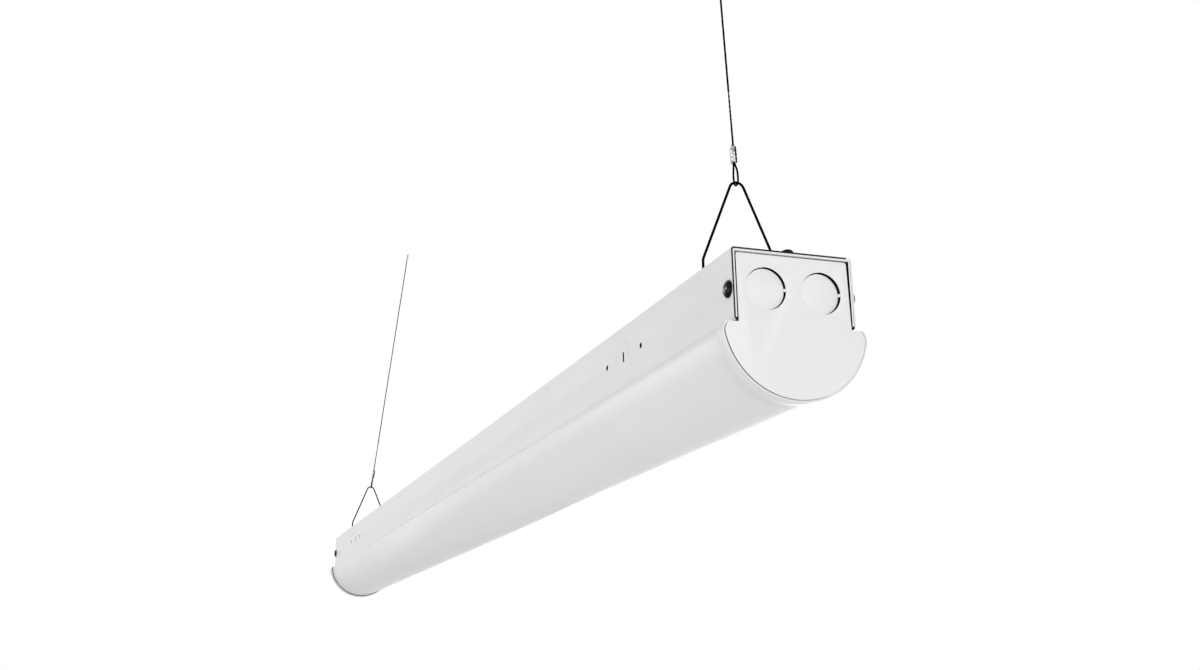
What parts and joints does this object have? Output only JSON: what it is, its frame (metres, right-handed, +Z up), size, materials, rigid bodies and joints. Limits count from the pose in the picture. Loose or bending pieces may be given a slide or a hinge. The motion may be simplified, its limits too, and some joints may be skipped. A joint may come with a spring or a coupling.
{
  "type": "hanging shop light",
  "caption": "Long narrow shop light: folded white steel housing with a round frosted diffuser and flat end caps, hung by a wire hook and a steel cable at each end.",
  "frame": {"origin": "the ceiling plane at the tops of the two cables, above the middle of the housing", "axes": "+Z up; +Y along the housing from the near end to the far end; +X across it, to the right as seen from the near end"},
  "size_m": [0.0847, 1.219, 0.4615],
  "materials": {
    "white_steel": "satin white powder coat",
    "frosted_diffuser": "frosted, milky, slightly translucent",
    "screw_steel": "darkened steel, satin",
    "zinc_plate": "bright zinc plate",
    "spring_wire": "dark drawn spring wire",
    "cable_steel": "twisted bare steel strands",
    "crimp_metal": "pressed sleeve, satin",
    "board_white": "white solder mask",
    "led_phosphor": "yellow phosphor",
    "ivory_plastic": "moulded ivory plastic",
    "circuit_green": "green circuit board with its parts",
    "black_rubber": "matte",
    "red_insulation": "lead insulation",
    "black_insulation": "lead insulation",
    "green_insulation": "lead insulation",
    "green_screw": "green ground screw"
  },
  "bodies": {
    "housing": {"channel": "white_steel", "diffuser": "frosted_diffuser", "near_end_cap": "white_steel", "far_end_cap": "white_steel", "near_cap_screws": "screw_steel", "far_cap_screws": "screw_steel", "near_top_screw": "screw_steel", "far_top_screw": "screw_steel", "led_tray": "white_steel", "near_tray_bracket": "zinc_plate", "far_tray_bracket": "zinc_plate", "tray_screws": "zinc_plate", "near_led_board": "board_white", "far_led_board": "board_white", "near_leds": "led_phosphor", "far_leds": "led_phosphor", "board_screws": "zinc_plate", "board_connectors": "ivory_plastic", "board_jumper": "red_insulation", "driver_base": "zinc_plate", "driver_cover": "white_steel", "driver_circuit": "circuit_green", "driver_screws": "zinc_plate", "tray_grommet": "black_rubber", "output_leads": "red_insulation", "supply_terminal": "ivory_plastic", "mains_leads": "black_insulation", "ground_screw": "green_screw", "ground_lead": "green_insulation"},
    "near_hook": {"near_hook": "spring_wire"},
    "far_hook": {"far_hook": "spring_wire"},
    "near_cable": {"near_cable": "cable_steel", "near_crimp_sleeve": "crimp_metal", "near_cable_stop": "crimp_metal"},
    "far_cable": {"far_cable": "cable_steel", "far_crimp_sleeve": "crimp_metal", "far_cable_stop": "crimp_metal"}
  },
  "joints": [
    {"name": "near_hook_tip", "type": "hinge", "parent": "housing", "child": "near_hook", "pos_m": [0, -0.5515, -0.3859], "axis": [1, 0, 0], "range_deg": [-60, 60]},
    {"name": "far_hook_tip", "type": "hinge", "parent": "housing", "child": "far_hook", "pos_m": [0, 0.5515, -0.3859], "axis": [1, 0, 0], "range_deg": [-60, 60]},
    {"name": "near_cable_swing", "type": "hinge", "parent": "near_hook", "child": "near_cable", "pos_m": [0, -0.5515, -0.3285], "axis": [0, 1, 0], "range_deg": [-28, 32]},
    {"name": "far_cable_swing", "type": "hinge", "parent": "far_hook", "child": "far_cable", "pos_m": [0, 0.5515, -0.3285], "axis": [0, 1, 0], "range_deg": [-37.5, 22.5]}
  ]
}
